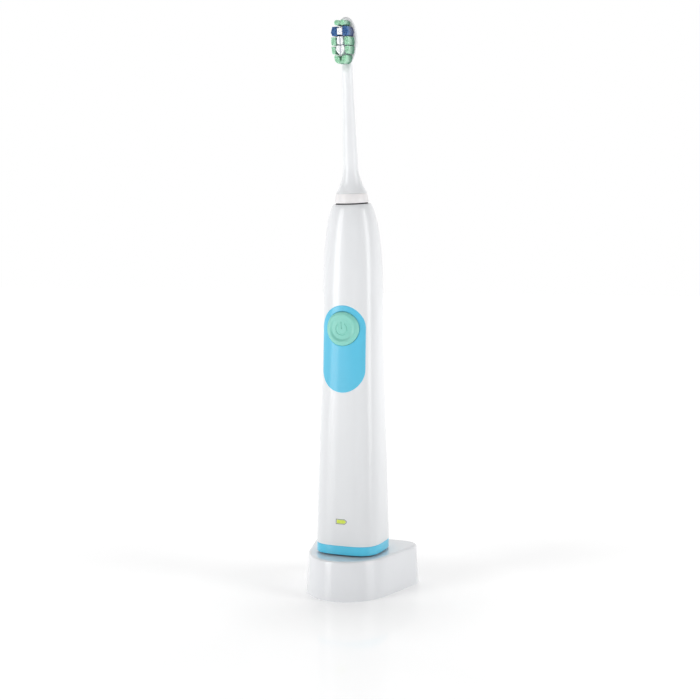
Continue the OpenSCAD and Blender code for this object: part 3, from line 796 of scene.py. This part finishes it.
def charger_body():
    count = 192

    def level(g, z):
        return [Vector((x, y, z)) for x, y in charger_outline(g, count)]

    def circle(r, z):
        angles = (2 * math.pi * i / count - math.pi / 2 for i in range(count))
        return [Vector((r * math.cos(a), r * math.sin(a), z)) for a in angles]

    def between(a, b, t):
        return [p.lerp(q, t) for p, q in zip(a, b)]

    ceiling = CHARGER_TOP - 2
    post_core = (POST_R - 1, POST_TOP - 1)
    top_inset = 3.0
    quarters = (0.25, 0.5, 0.75)
    arc = 6
    skirt = rounded([
        (-CHARGER_WALL, CHARGER_FOOT, 0), (CHARGER_DRAFT, CHARGER_FOOT, 0.3),
        (0, CHARGER_TOP, 0.95), (-top_inset, CHARGER_TOP, 0),
    ], steps=arc)
    # The wall runs from the end of the foot's arc to the start of the top's, and gets rows between
    below, above = skirt[arc + 1], skirt[arc + 2]
    wall = [(lerp(below[0], above[0], t), lerp(below[1], above[1], t)) for t in quarters]
    skirt[arc + 2:arc + 2] = wall
    post = rounded([
        (POST_R + 2.5, CHARGER_TOP, 0), (POST_R, CHARGER_TOP, 0.7),
        (POST_R, POST_TOP, 1.3), (0, POST_TOP, 0),
    ], steps=arc)
    rows = [[Vector((0, 0, post_core[1]))], circle(*post_core), circle(post_core[0], ceiling)]
    rows += [level(-CHARGER_WALL, ceiling)]
    rows += [level(g, z) for g, z in skirt]
    rim, hub = rows[-1], circle(post[0][0], CHARGER_TOP)
    rows += [between(rim, hub, t) for t in quarters]
    rows += [circle(r, z) for r, z in post[:-1]] + [[Vector((0, 0, POST_TOP))]]
    shape = Shape().rows(rows)
    body = make_piece("charger_body", shape, FINISHES["charger_white"], "charger",
                      ["charger_shell"])

    hole_r, outside, inside = GLAND_R + 0.02, -CHARGER_BACK - 4, -CHARGER_BACK + 6
    hole = Shape().revolve([(0, outside), (hole_r, outside), (hole_r, inside), (0, inside)],
                           facing_front(GLAND_Z), 64)
    cutter_mesh = bpy.data.meshes.new("gland_hole")
    cutter_mesh.from_pydata([v * MM for v in hole.verts], [], hole.faces)
    cutter = bpy.data.objects.new("gland_hole", cutter_mesh)
    bpy.context.scene.collection.objects.link(cutter)
    cut = body.modifiers.new("gland_hole", "BOOLEAN")
    cut.object = cutter
    cut.solver = "EXACT"
    bpy.context.view_layer.update()
    done = bpy.data.meshes.new_from_object(body.evaluated_get(bpy.context.evaluated_depsgraph_get()))
    body.modifiers.remove(cut)
    body.data = done
    bpy.data.objects.remove(cutter)


def cord_gland():
    inside, outside = CHARGER_BACK - 5, gland_high.y
    profile = rounded([
        (GLAND_BORE, inside, 0), (GLAND_R + 1.2, inside, 0), (GLAND_R + 1.2, inside + 3.1, 0.2),
        (GLAND_R, inside + 3.1, 0), (GLAND_R, CHARGER_BACK + 0.5, 0), (GLAND_R, outside, 0.6),
        (GLAND_BORE, outside, 0.5),
    ], closed=True)
    shape = Shape().revolve(profile, facing_back(GLAND_Z), 64, wrap=True)
    make_piece("gland", shape, FINISHES["base_grey"], "charger", ["cord_gland"])


# ---------------------------------------------------------------- brush head pieces

def stem_r(s):
    """The stem's radius, which flares out just above the collar."""
    flare = max(0.0, 1 - (s - COLLAR_TOP) / 14)
    return lerp(STEM_LOW_R, STEM_TOP_R, smooth((s - 14) / 46)) + (COLLAR_R - STEM_LOW_R) * flare ** 2.2


def shank_ring(s, count):
    """One ring of the shank: round on the stem, then an oval plate with a flat front."""
    # t goes from 0 on the stem to 1 on the plate, u from -1 to 1 along the plate
    t = smooth((s - 59.5) / 6)
    u = (s - PLATE_MID) / PLATE_HALF_LEN
    wide = PLATE_HALF_W * math.sqrt(max(0.0, 1 - u * u))
    stem = stem_r(s) * (1 - smooth((s - 66) / 6))
    w = (stem ** 4 + wide ** 4) ** 0.25
    thin = (1 - max(0.0, u) ** 6) ** (1 / 3)
    mid = lerp(0, (PLATE_FRONT + PLATE_BACK) / 2, t)
    front = lerp(stem_r(s), mid - PLATE_FRONT, t) * thin
    back = lerp(stem_r(s), PLATE_BACK - mid, t) * thin
    ring = []
    for i in range(count):
        a = 2 * math.pi * i / count - math.pi / 2
        c, d = math.cos(a), math.sin(a)
        n = lerp(2, 5, t) if d < 0 else lerp(2, 2.5, t)
        y = mid + (front if d < 0 else back) * power(d, 2 / n)
        ring.append(on_shaft(w * power(c, 2 / n), y, s))
    return ring


def head_shank():
    count = 112

    def circle(r, s):
        angles = (2 * math.pi * i / count - math.pi / 2 for i in range(count))
        return [on_shaft(r * math.cos(a), r * math.sin(a), s) for a in angles]

    socket_top = 20.8
    mouth_r, mouth_top, foot = 5.2, 6, 1
    over_collar = COLLAR_TOP + 0.7
    tip = PLATE_MID + PLATE_HALF_LEN
    rows = [[on_shaft(0, 0, socket_top)]]
    rows += [circle(r, s) for r, s in rounded([
        (SOCKET_R, socket_top, 0), (SOCKET_R, mouth_top + 4, 0), (mouth_r, mouth_top, 0), (mouth_r, foot, 0),
        (COLLAR_SEAT_R, foot, 0), (COLLAR_SEAT_R, COLLAR_TOP, 0), (COLLAR_R, COLLAR_TOP, 0.2),
        (stem_r(over_collar), over_collar, 0),
    ])]
    levels = [lerp(COLLAR_TOP + 1, 20, i / 28) for i in range(29)]
    levels += [lerp(21.5, 58, i / 18) for i in range(19)]
    levels += [lerp(59, PLATE_MID, i / 32) for i in range(33)]
    levels += [lerp(PLATE_MID, tip, math.sin(math.pi / 2 * i / 26)) for i in range(1, 26)]
    rows += [shank_ring(s, count) for s in levels]
    rows += [[on_shaft(0, (PLATE_FRONT + PLATE_BACK) / 2, tip)]]
    shape = Shape().rows(rows)
    make_piece("brush_shank", shape, FINISHES["handle_white"], "brush_head", ["head_shank"])


def head_collar():
    seat_r, top = COLLAR_SEAT_R + 0.02, COLLAR_TOP - 0.03
    profile = rounded([
        (seat_r, HEAD_FOOT, 0), (NECK_R, HEAD_FOOT, 0.14), (COLLAR_R, top, 0.15), (seat_r, top, 0),
    ], closed=True)
    shape = Shape().revolve(profile, on_shaft, 112, wrap=True)
    make_piece("brush_collar", shape, FINISHES["ring_grey"], "brush_head", ["head_ring"])


def round_tuft(x, s, r):
    angles = [math.radians(30 * k) for k in range(12)]
    return [(x + r * math.cos(a), s + r * math.sin(a)) for a in angles]


# Each tuft's outline on the plate, as corners (x, s) from the plate's middle; pairs are mirrored
GREEN_PAIRS = [
    [(2.3, -2.3), (4.1, -2.3), (4.3, -0.6), (4.1, 1.3), (2.2, 1.3)],
    [(2.6, -6.2), (3.8, -6.2), (4.1, -4.6), (4.2, -2.8), (2.4, -2.8)],
    [(0.2, -9.7), (1.3, -10.5), (2.6, -9.5), (3.1, -7.4), (2.6, -6.7), (0.9, -7.1)],
    round_tuft(1.3, 7.6, 1.25),
]
BLUE_PAIRS = [[(1.4, 1.8), (3.6, 1.8), (4.3, 3.4), (3.5, 5.9), (1.5, 5.9)]]
WHITE_PAIRS = [
    [(0.3, -2.1), (1.2, -1.9), (1.5, -0.4), (1.2, 1.4), (0.3, 1.6)],
    [(0.3, -6.6), (1.1, -5.9), (2.1, -4.2), (1.7, -2.6), (0.3, -2.5)],
]
WHITE_MIDDLE = [(-1.2, 2.4), (1.2, 2.4), (1.2, 5.3), (-1.2, 5.3)]

# How far along a filament the core between them ends and its rounded tip begins
CORE_SHARE = 0.975
# Distance between the rows of a triangular lattice, in pitches
ROW_GAP = 0.866


def filaments(shape, outline, mirrored):
    """Fills one tuft's outline with filaments in a close lattice, packed round a core just below the tips."""
    pitch, r, sides = 0.27, 0.125, 6
    lean, uneven = 0.035, 0.05
    # Each filament as (share of its length, radius): its foot is sunk into the plate and its tip rounded
    profile = ((-0.05, r), (0.6, r), (CORE_SHARE, r), (1.0, 0.45 * r))
    last_ring = (len(profile) - 1) * sides
    side = -1 if mirrored else 1
    start = len(shape.verts)
    corners = len(outline)
    around = outline[::side]
    for share in (0, CORE_SHARE):
        y = PLATE_FRONT - TUFT_LEN * share
        shape.verts.extend(on_shaft(side * x, y, PLATE_MID + s) for x, s in around)
        shape.tones.extend([(0.5, share)] * corners)
    for k in range(corners):
        a, b = start + k, start + (k + 1) % corners
        shape.faces.append((a, b, b + corners, a + corners))
    shape.faces.append(tuple(start + k for k in reversed(range(corners))))
    shape.faces.append(tuple(start + corners + k for k in range(corners)))
    xs = [x for x, _ in outline]
    ss = [s for _, s in outline]
    x0, x1, s0, s1 = min(xs), max(xs), min(ss), max(ss)
    rows = int((s1 - s0) / (pitch * ROW_GAP)) + 1
    columns = int((x1 - x0) / pitch) + 2
    for j in range(rows):
        for i in range(columns):
            x = x0 + (i + 0.5 * (j % 2)) * pitch
            s = s0 + j * pitch * ROW_GAP
            if not inside_convex(outline, x, s):
                continue
            lean_x, lean_s = random.gauss(0, lean), random.gauss(0, lean)
            length = TUFT_LEN + random.gauss(0, uneven)
            tone = random.random()
            start = len(shape.verts)
            for share, radius in profile:
                y = PLATE_FRONT - length * share
                for k in range(sides):
                    a = 2 * math.pi * k / sides
                    shape.verts.append(on_shaft(
                        side * (x + lean_x * share) + radius * math.cos(a), y,
                        PLATE_MID + s + lean_s * share + radius * math.sin(a)))
                    shape.tones.append((tone, max(0.0, share)))
            for ring in range(start, start + last_ring, sides):
                for k in range(sides):
                    a, b = ring + k, ring + (k + 1) % sides
                    shape.faces.append((a, b, b + sides, a + sides))
            shape.faces.append(tuple(start + k for k in reversed(range(sides))))
            shape.faces.append(tuple(start + last_ring + k for k in range(sides)))


def tufts():
    groups = {
        "green": (GREEN_PAIRS, []),
        "blue": (BLUE_PAIRS, []),
        "white": (WHITE_PAIRS, [WHITE_MIDDLE]),
    }
    for colour, (pairs, singles) in groups.items():
        shape = Shape()
        for outline in pairs:
            filaments(shape, outline, False)
            filaments(shape, outline, True)
        for outline in singles:
            filaments(shape, outline, False)
        make_piece(f"bristles_{colour}", shape, FINISHES[f"bristle_{colour}"], "brush_head",
                   [f"tufts_{colour}"], sharp=60)


# ---------------------------------------------------------------- CAD pieces that stay

def finish_cad_nodes():
    """Gives each CAD node the finish of its slot."""
    for row in frame["record"]["subparts"]:
        node = frame["nodes"][row["node"]]
        node.data.materials.clear()
        node.data.materials.append(FINISHES[row["material_slot"]])


# ---------------------------------------------------------------- camera, light and floor

# The focus is the focal length in picture widths
CAMERA_AZIMUTH = math.radians(21.4)
CAMERA_DISTANCE = 577
CAMERA_HEIGHT = 160.8
CAMERA_PITCH = math.radians(4.55)
CAMERA_YAW = math.radians(0.155)
CAMERA_FOCUS = 1.742857


def make_camera():
    data = bpy.data.cameras.new("camera")
    data.sensor_width = 36
    data.lens = CAMERA_FOCUS * data.sensor_width
    data.clip_start = 0.01
    camera = bpy.data.objects.new("camera", data)
    bpy.context.scene.collection.objects.link(camera)
    place = Vector((math.sin(CAMERA_AZIMUTH), -math.cos(CAMERA_AZIMUTH), 0)) * CAMERA_DISTANCE
    camera.location = (place + Vector((0, 0, CAMERA_HEIGHT))) * MM
    camera.rotation_euler = (math.pi / 2 - CAMERA_PITCH, 0, CAMERA_AZIMUTH + CAMERA_YAW)
    bpy.context.scene.camera = camera


# Name, azimuth and elevation in degrees, distance and size in metres, power in watts, height aimed at
LIGHTS = (
    ("softbox_left", -37, 10, 1.1, (0.42, 1.1), 7.4, 0.08),
    ("softbox_right", 86, 12, 1.1, (0.40, 1.1), 6.0, 0.08),
    ("softbox_top", 195, 66, 1.2, (0.8, 0.8), 2.5, 0.13),
    ("softbox_front", 0, 52, 1.1, (0.5, 0.4), 0.5, 0.02),
)


def make_light(name, azimuth, elevation, distance, size, energy, aim_z):
    """A soft box aimed at the object. Azimuth is measured as the camera's is."""
    data = bpy.data.lights.new(name, "AREA")
    data.shape = "RECTANGLE"
    data.size, data.size_y = size
    data.energy = energy
    lamp = bpy.data.objects.new(name, data)
    bpy.context.scene.collection.objects.link(lamp)
    a, e = math.radians(azimuth), math.radians(elevation)
    aim = Vector((0, 0, aim_z))
    away = Vector((math.sin(a) * math.cos(e), -math.cos(a) * math.cos(e), math.sin(e)))
    lamp.location = aim + away * distance
    lamp.rotation_euler = away.to_track_quat("Z", "Y").to_euler()


def make_world():
    """White behind the object, darker on the camera's side, and plain white where it is seen directly."""
    world = bpy.data.worlds.new("studio")
    bpy.context.scene.world = world
    world.use_nodes = True
    world.cycles.sampling_method = "NONE"
    nodes, links = world.node_tree.nodes, world.node_tree.links
    backdrop = nodes["Background"]
    backdrop.inputs["Color"].default_value = (1, 1, 1, 1)
    backdrop.inputs["Strength"].default_value = 1.0
    ambient = nodes.new("ShaderNodeBackground")
    ambient.inputs["Color"].default_value = (1, 1, 1, 1)
    along = nodes.new("ShaderNodeVectorMath")
    along.operation = "DOT_PRODUCT"
    dip = math.radians(25)  # the brightest part is below the horizon
    along.inputs[1].default_value = (
        -math.sin(CAMERA_AZIMUTH) * math.cos(dip), math.cos(CAMERA_AZIMUTH) * math.cos(dip), -math.sin(dip))
    links.new(nodes.new("ShaderNodeTexCoord").outputs["Generated"], along.inputs[0])
    level = nodes.new("ShaderNodeMapRange")
    level.interpolation_type = "SMOOTHSTEP"
    for socket, value in (("From Min", -0.35), ("From Max", 0.55), ("To Min", 0.08), ("To Max", 0.95)):
        level.inputs[socket].default_value = value
    links.new(along.outputs["Value"], level.inputs["Value"])
    links.new(level.outputs["Result"], ambient.inputs["Strength"])
    seen = nodes.new("ShaderNodeLightPath")
    mix = nodes.new("ShaderNodeMixShader")
    links.new(seen.outputs["Is Camera Ray"], mix.inputs[0])
    links.new(ambient.outputs[0], mix.inputs[1])
    links.new(backdrop.outputs[0], mix.inputs[2])
    links.new(mix.outputs[0], nodes["World Output"].inputs["Surface"])


def make_floor():
    """A white floor with a faint gloss, whose glow grows with the distance so that it meets the backdrop, and dips
    close to the object as a painted shadow.
    """
    half = 4.0
    steps = 8
    row = steps + 1
    spots = [lerp(-half, half, i / steps) for i in range(row)]
    verts = [(x, y, 0) for y in spots for x in spots]
    starts = [j * row + i for j in range(steps) for i in range(steps)]
    faces = [(k, k + 1, k + row + 1, k + row) for k in starts]
    mesh = bpy.data.meshes.new("floor")
    mesh.from_pydata(verts, [], faces)
    floor = bpy.data.objects.new("floor", mesh)
    bpy.context.scene.collection.objects.link(floor)
    f = Finish("floor_white")
    f.link(f.mix(f.remap(f.noise(60, 2), 0, 1), (0.90, 0.90, 0.90), (0.92, 0.92, 0.92)),
           f.shader.inputs["Base Color"])
    f.link(f.remap(f.noise(40, 3), 0.04, 0.07), f.shader.inputs["Roughness"])
    f.shader.inputs["IOR"].default_value = 1.18
    f.shader.inputs["Emission Color"].default_value = (1, 1, 1, 1)
    away = f.add("ShaderNodeVectorMath", operation="LENGTH")
    f.link(f.coords, away.inputs[0])
    # Over the distance in metres: brighter towards the backdrop, and dimmer close to the object, a painted shadow
    # round it
    glow = f.add("ShaderNodeMath", operation="ADD")
    f.link(f.remap(away.outputs["Value"], 0.34, 0.9, 0.14, 0.9), glow.inputs[0])
    f.link(f.remap(away.outputs["Value"], -0.10, 0, 0.03, 0.085), glow.inputs[1])
    f.link(glow.outputs[0], f.shader.inputs["Emission Strength"])
    f.material.cycles.emission_sampling = "NONE"
    mesh.materials.append(f.material)


make_camera()
make_world()
make_floor()
for light in LIGHTS:
    make_light(*light)

finish_cad_nodes()
handle_housing()
grip_panel()
battery_sign()
power_button()
end_band()
charger_body()
cord_gland()
head_shank()
head_collar()
tufts()

scene = bpy.context.scene
scene.view_settings.view_transform = "Standard"
scene.view_settings.look = "None"
